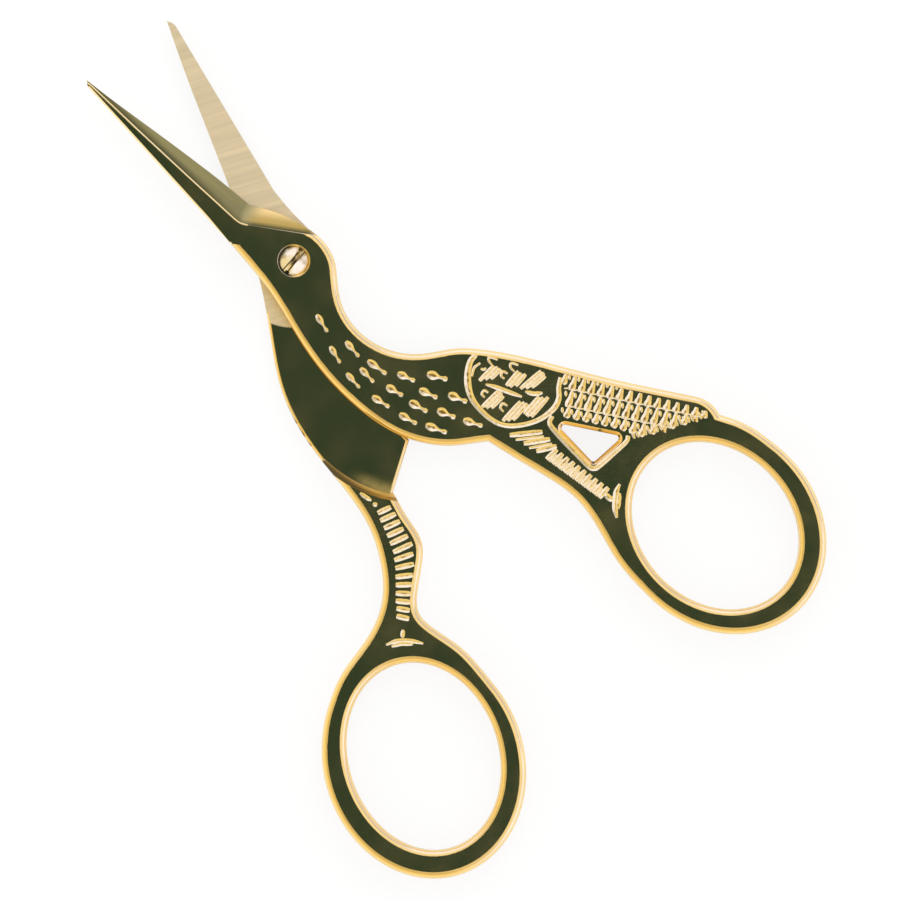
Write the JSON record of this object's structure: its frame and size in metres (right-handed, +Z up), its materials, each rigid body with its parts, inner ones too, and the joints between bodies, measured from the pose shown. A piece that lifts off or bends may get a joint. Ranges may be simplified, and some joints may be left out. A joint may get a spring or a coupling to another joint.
{
  "type": "stork embroidery scissors",
  "caption": "Small gold-plated embroidery scissors shaped like a stork: the beak is the blades, the eye is the pivot screw and the legs end in oval finger rings.",
  "frame": {"origin": "on the pivot axis, at the level of the flat underside that the scissors rest on", "axes": "+Z up out of the decorated face, +Y from the pivot towards the points along the middle of the opening, +X to the right, on the side of the stork's tail and its finger ring"},
  "size_m": [0.0579, 0.086, 0.003],
  "materials": {
    "front_gold": "gold-plated steel, polished, with carved feather marks",
    "rear_gold": "gold-plated steel, polished, with the blade's inner face ground bare",
    "screw_plated": "polished pale plated steel"
  },
  "bodies": {
    "rear": {"rear_half": "rear_gold", "pivot_screw": "screw_plated"},
    "front": {"front_half": "front_gold"}
  },
  "joints": [
    {"name": "pivot", "type": "hinge", "parent": "rear", "child": "front", "pos_m": [0, 0, 0.0015], "axis": [0, 0, 1], "range_deg": [-20.7, 134]}
  ]
}
